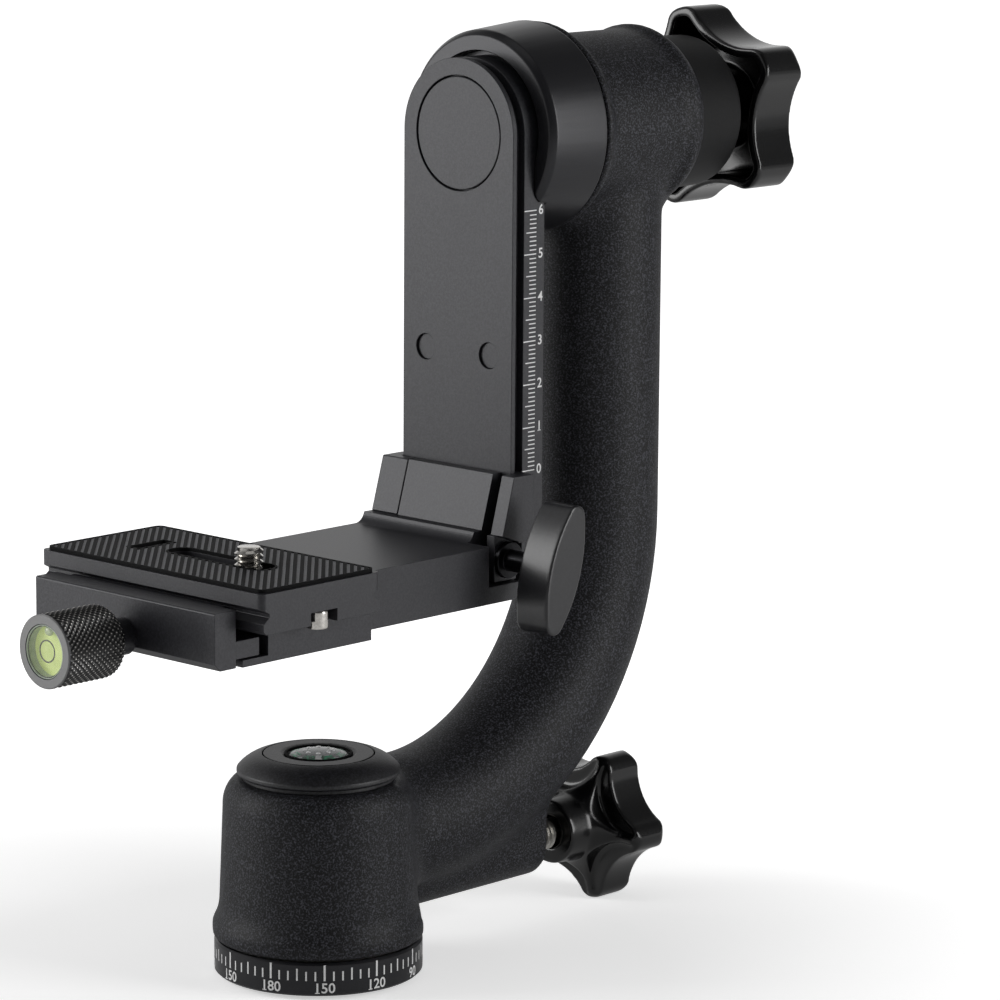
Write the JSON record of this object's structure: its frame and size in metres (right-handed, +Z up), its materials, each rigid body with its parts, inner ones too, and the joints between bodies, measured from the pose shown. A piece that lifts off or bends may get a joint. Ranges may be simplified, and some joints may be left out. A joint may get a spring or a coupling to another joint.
{
  "type": "gimbal tripod head",
  "caption": "Gimbal tripod head with a bent arm on a panning dial base, a tilting rail with an L bracket, a quick-release camera plate and star lock knobs.",
  "frame": {"origin": "mouth of the tripod thread at the centre of the base's underside", "axes": "+Z up along the pan axis, +X towards the tilt lock knob along the tilt axis, -Y towards the height lock paddle"},
  "size_m": [0.2229, 0.0736, 0.2133],
  "materials": {
    "powder_coat": "black textured powder coat",
    "anodised": "satin black anodised",
    "dial_anodised": "satin black anodised with white engraved scale",
    "bare_steel": "bright machined",
    "black_steel": "black oxide",
    "bronze": "machined",
    "knob_plastic": "glossy moulded",
    "nylon": "matt",
    "friction_fibre": "matt",
    "pad_rubber": "ribbed",
    "level_fluid": "clear yellow-green fluid",
    "clear_lens": "clear",
    "card_print": "printed",
    "needle_paint": "painted"
  },
  "bodies": {
    "base": {"pan_base": "dial_anodised", "tripod_bush": "bare_steel", "spindle_washer": "bare_steel", "spindle_nut": "bare_steel"},
    "arm": {"pan_slip_washer": "nylon", "pan_bush": "bronze", "arm_casting": "powder_coat", "cap_ring": "anodised", "compass_bezel": "anodised", "compass_case": "knob_plastic", "compass_card": "card_print", "compass_pivot": "bare_steel", "compass_glass": "clear_lens", "tilt_bush_front": "bronze", "tilt_bush_rear": "bronze", "tilt_end_cap": "powder_coat"},
    "needle": {"compass_needle": "needle_paint"},
    "pan_shoe": {"pan_lock_shoe": "nylon"},
    "pan_knob": {"pan_lock_screw": "bare_steel", "pan_lock_knob": "knob_plastic"},
    "swing": {"tilt_hub": "anodised", "tilt_shaft": "bare_steel", "tilt_friction_ring": "friction_fibre", "height_rail": "anodised", "rail_plugs": "anodised", "rail_cap": "anodised", "hub_screw": "black_steel"},
    "tilt_washer": {"tilt_thrust_washer": "bare_steel"},
    "tilt_knob": {"tilt_lock_knob": "knob_plastic", "tilt_lock_insert": "bronze"},
    "bracket": {"l_bracket": "anodised", "clamp_base": "anodised", "clamp_base_screws": "black_steel", "fixed_rail_jaw": "anodised"},
    "rail_jaw": {"rail_clamp_jaw": "anodised"},
    "paddle": {"height_lock_stud": "black_steel", "height_lock_paddle": "knob_plastic"},
    "jaw": {"clamp_jaw": "anodised", "jaw_guide_pins": "bare_steel"},
    "clamp_knob": {"clamp_knob": "anodised", "clamp_screw": "black_steel", "level_vial": "level_fluid", "level_lens": "clear_lens"},
    "plate": {"qr_plate": "anodised", "rubber_pad": "pad_rubber", "plate_stop_screws": "bare_steel"},
    "camera_washer": {"camera_screw_washer": "black_steel"},
    "camera_screw": {"camera_screw": "bare_steel"}
  },
  "joints": [
    {"name": "pan", "type": "hinge", "parent": "base", "child": "arm", "pos_m": [0, 0, 0.02], "axis": [0, 0, 1], "continuous": true},
    {"name": "compass_needle_swing", "type": "hinge", "parent": "arm", "child": "needle", "pos_m": [0, 0, 0.0484], "axis": [0, 0, 1], "continuous": true},
    {"name": "pan_lock_travel", "type": "slide", "parent": "arm", "child": "pan_shoe", "axis": [1, 0, 0], "range_m": [0, 0.00187]},
    {"name": "pan_lock_turn", "type": "hinge", "parent": "pan_shoe", "child": "pan_knob", "pos_m": [0.09, 0, 0.0173], "axis": [1, 0, 0], "range_deg": [0, 540]},
    {"name": "tilt", "type": "hinge", "parent": "arm", "child": "swing", "pos_m": [0.09, 0, 0.1879], "axis": [1, 0, 0], "continuous": true},
    {"name": "tilt_lock_travel", "type": "slide", "parent": "swing", "child": "tilt_washer", "axis": [1, 0, 0], "range_m": [0, 0.0015]},
    {"name": "tilt_lock_turn", "type": "hinge", "parent": "tilt_washer", "child": "tilt_knob", "pos_m": [0.13, 0, 0.1879], "axis": [1, 0, 0], "range_deg": [0, 360]},
    {"name": "height", "type": "slide", "parent": "swing", "child": "bracket", "axis": [0, 0, 1], "range_m": [0, 0.06]},
    {"name": "height_lock_travel", "type": "slide", "parent": "bracket", "child": "rail_jaw", "axis": [0, -1, 0], "range_m": [0, 0.0015]},
    {"name": "height_lock_turn", "type": "hinge", "parent": "rail_jaw", "child": "paddle", "pos_m": [0.0412, -0.033, 0.0919], "axis": [0, -1, 0], "range_deg": [0, 540]},
    {"name": "clamp_travel", "type": "slide", "parent": "bracket", "child": "jaw", "axis": [-1, 0, 0], "range_m": [0, 0.0032]},
    {"name": "clamp_turn", "type": "hinge", "parent": "jaw", "child": "clamp_knob", "pos_m": [-0.07, 0, 0.0865], "axis": [-1, 0, 0], "range_deg": [0, 1440]},
    {"name": "plate_travel", "type": "slide", "parent": "bracket", "child": "plate", "axis": [0, 1, 0], "range_m": [-0.0018, 0.0018]},
    {"name": "camera_screw_travel", "type": "slide", "parent": "plate", "child": "camera_washer", "axis": [0, 1, 0], "range_m": [-0.0033, 0.0207]},
    {"name": "camera_screw_turn", "type": "hinge", "parent": "camera_washer", "child": "camera_screw", "pos_m": [-0.033, -0.012, 0.098], "axis": [0, 0, 1], "continuous": true}
  ],
  "couplings": [
    {"joint": "pan_lock_travel", "follows": "pan_lock_turn", "m_per_rad": 0.00019894},
    {"joint": "tilt_lock_travel", "follows": "tilt_lock_turn", "m_per_rad": 0.00023873},
    {"joint": "height_lock_travel", "follows": "height_lock_turn", "m_per_rad": 0.00015915},
    {"joint": "clamp_travel", "follows": "clamp_turn", "m_per_rad": 0.00012732}
  ]
}
